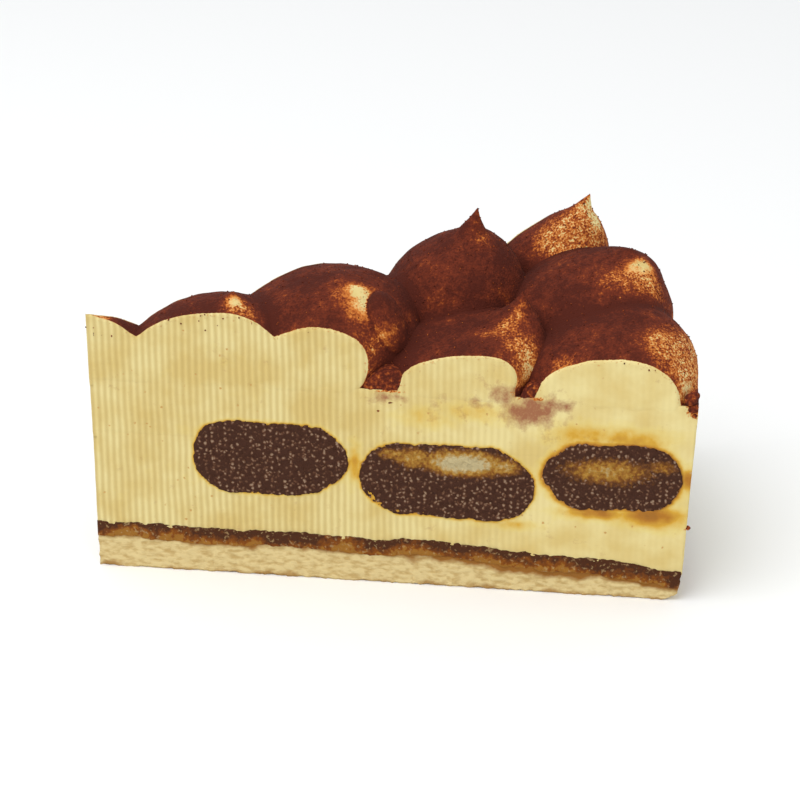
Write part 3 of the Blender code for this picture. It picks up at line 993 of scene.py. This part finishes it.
pipedDollops = [makeDollop(node, number) for number, node in enumerate(dollops)]
print("dollops piped")
fillValleys(pipedDollops, [upperCream], dollopShape["valleyReach"])
for dollop, dollopNode in zip(pipedDollops, dollops):
    keepInside(dollop)
    size = dollops[dollopNode]
    dollopPlaces = places(dollop)
    bare = bareness(dollopPlaces, size["bare"])
    thin = np.clip(bareness(dollopPlaces, size["thin"]), 0, 1)
    if "fold" in size:
        covered = underFold(dollopPlaces, size["fold"])
        # its underside is dusted as well
        below = (size["fold"][2] * mm - dollopPlaces[:, 2]) / dollopShape["foldDustFades"]
        bare[covered] = dollopShape["foldDust"] * np.clip(below, 0, 1)[covered]
        thin[covered] = 0
    paint(dollop, "bareCream", bare)
    paint(dollop, "thinCocoa", thin)
    paint(dollop, "rubbed", np.maximum(rubbedEdge(dollop), stains(dollopPlaces, creamStains["rubbed"])))
    paint(dollop, "cocoaSmear", stains(dollopPlaces, creamStains["cocoaSmear"]))
    finishPiece(dollop, creamUnderCocoa, "cocoa_dusted_cream", dollopNode)
print("valleys filled")


# Cocoa that piled up between dollops at the front cut, a little behind the cut cream: along, across, and half
# its length, depth and height in mm. Clumps stuck to the rim: along, across, height and size in mm.
heaps = {"places": [(65.3, 2.5, 6.0, 7.0, 5.4), (97.3, 1.5, 4.0, 6.0, 4.2)], "sides": 48, "rings": 32,
         "sunk": 0.8 * mm, "behind": 0.10 * mm, "skin": 0.35 * mm, "grain": 1.6 * mm, "depth": 0.5 * mm}
clumps = {"places": [(129.4, 0.7, 48.9, 1.4), (130.0, 0.5, 47.1, 1.2), (130.1, 1.8, 49.2, 1.1),
                     (130.3, 0.4, 45.4, 0.7), (130.2, 0.3, 18.2, 0.5)],
          "lumpy": 0.5}


def joined(pieces, name):
    nothingSelected()
    for piece in pieces:
        piece.select_set(True)
    bpy.context.view_layer.objects.active = pieces[0]
    bpy.ops.object.join()
    whole = bpy.context.object
    whole.name = name
    return finishPiece(whole, looseCocoa, "cocoa_dusted_cream")


def makeHeap(along, across, halfLength, halfDepth, halfHeight):
    x, y = fromTip(along * mm, across * mm)
    nothingSelected()
    bpy.ops.mesh.primitive_uv_sphere_add(
        segments=heaps["sides"], ring_count=heaps["rings"], radius=1,
        location=(x, y, rimTop - heaps["sunk"]),
        scale=(halfLength * mm, halfDepth * mm, halfHeight * mm), rotation=(0, 0, -halfAngle))
    heap = newPiece("heap")
    cutToSlice(-heaps["behind"])
    remeshTo(heap, heaps["skin"])
    roughen(heap, "CLOUDS", heaps["grain"], heaps["depth"])
    return heap


def makeClump(along, across, height, size):
    x, y = fromTip(along * mm, across * mm)
    nothingSelected()
    bpy.ops.mesh.primitive_ico_sphere_add(subdivisions=4, radius=size * mm, location=(x, y, height * mm))
    clump = newPiece("clump")
    roughen(clump, "CLOUDS", size * mm, size * mm * clumps["lumpy"])
    return clump


joined([makeHeap(*place) for place in heaps["places"]], "cocoa_heaps")
joined([makeClump(*place) for place in clumps["places"]], "cocoa_clumps")


# Loose cocoa: small lumps on what faces up, and a few that the knife dragged down from the top edge. Each
# count is for so many places of a dollop's mesh.
grainSpread = {
    "seed": 11, "sizes": (0.08 * mm, 0.26 * mm), "widths": (0.6, 1.0), "heights": (0.5, 0.9), "lift": 0.2,
    "uneven": 0.06 * mm, "count": 1600, "for": 60000, "facingUp": 0.25, "behindCut": 0.6 * mm,
    "onCuts": 150, "onCutsFor": 9000, "draggedDown": 7 * mm,
}


def scatterCocoa():
    spread = grainSpread
    draw = random.Random(spread["seed"])
    spots = []
    for dollop in pipedDollops:
        co = places(dollop)
        up = places(dollop, "normal")
        outside = outsideCut(co)
        top = np.flatnonzero((up[:, 2] > spread["facingUp"]) & (outside < -spread["behindCut"]))
        cut = np.flatnonzero((outside > 0) & (co[:, 2] > co[:, 2].max() - spread["draggedDown"]))
        onTop = int(spread["count"] * len(top) / spread["for"]) + 1
        onCut = int(spread["onCuts"] * len(cut) / spread["onCutsFor"])
        for fits, count in ((top, onTop), (cut, onCut)):
            spots += [(Vector(co[i]), Vector(up[i])) for i in draw.choices(fits.tolist(), k=count)]
    nothingSelected()
    bpy.ops.mesh.primitive_ico_sphere_add(subdivisions=1, radius=1)
    first = bpy.context.object
    grains = []
    for place, up in spots:
        grain = first.copy()
        grain.data = first.data.copy()
        size = draw.uniform(*spread["sizes"])
        grain.scale = (size, size * draw.uniform(*spread["widths"]), size * draw.uniform(*spread["heights"]))
        grain.rotation_euler = [draw.uniform(0, math.pi) for axis in range(3)]
        grain.location = place + up * size * spread["lift"]
        bpy.context.collection.objects.link(grain)
        grains.append(grain)
    bpy.data.objects.remove(first)
    for grain in grains:
        grain.select_set(True)
    bpy.context.view_layer.objects.active = grains[0]
    bpy.ops.object.join()
    piece = newPiece("loose_cocoa_grains")
    bpy.ops.object.mode_set(mode="EDIT")
    bpy.ops.mesh.select_all(action="SELECT")
    bpy.ops.transform.vertex_random(offset=spread["uneven"], uniform=0, normal=0, seed=spread["seed"])
    bpy.ops.object.mode_set(mode="OBJECT")
    return finishPiece(piece, looseCocoa, "cocoa_dusted_cream")


scatterCocoa()
print("cocoa sifted")


# Camera, floor and light
studio = {
    "camera": (-0.0716, -0.5299, 0.3047), "aim": (0.002, -0.002, 0.0375), "lens": 122.0,
    "floor": "#f7f7f6",
    "key": {"place": (-0.38, -0.22, 0.90), "size": 0.85, "power": 6.6},
    "fill": {"place": (0.50, -0.75, 0.45), "size": 0.7, "power": 1.0},
    "lampAim": (0, 0, 0.03), "world": 0.70, "worldTint": (0.96, 0.98, 1, 1), "floorSize": 4,
}


def aimAt(thing, target):
    thing.rotation_euler = (Vector(target) - thing.location).to_track_quat("-Z", "Y").to_euler()


def makeStudio():
    scene = bpy.context.scene
    bpy.ops.object.camera_add(location=studio["camera"])
    camera = bpy.context.object
    camera.data.lens = studio["lens"]
    aimAt(camera, studio["aim"])
    scene.camera = camera
    for name in ("key", "fill"):
        light = studio[name]
        bpy.ops.object.light_add(type="AREA", location=light["place"])
        lamp = bpy.context.object
        lamp.name = name + "_light"
        lamp.data.size = light["size"]
        lamp.data.energy = light["power"]
        aimAt(lamp, studio["lampAim"])
    world = bpy.data.worlds.new("soft_white")
    world.use_nodes = True
    background = world.node_tree.nodes["Background"]
    background.inputs["Color"].default_value = studio["worldTint"]
    background.inputs["Strength"].default_value = studio["world"]
    scene.world = world
    nothingSelected()
    bpy.ops.mesh.primitive_plane_add(size=studio["floorSize"])
    floor = newPiece("pale_floor")
    material, tree, shader = newMaterial("matt_white_board", 0.7)
    shader.inputs["Base Color"].default_value = linearColour(studio["floor"])
    floor.data.materials.append(material)
    scene.view_settings.view_transform = "Standard"


makeStudio()
print("studio lit")
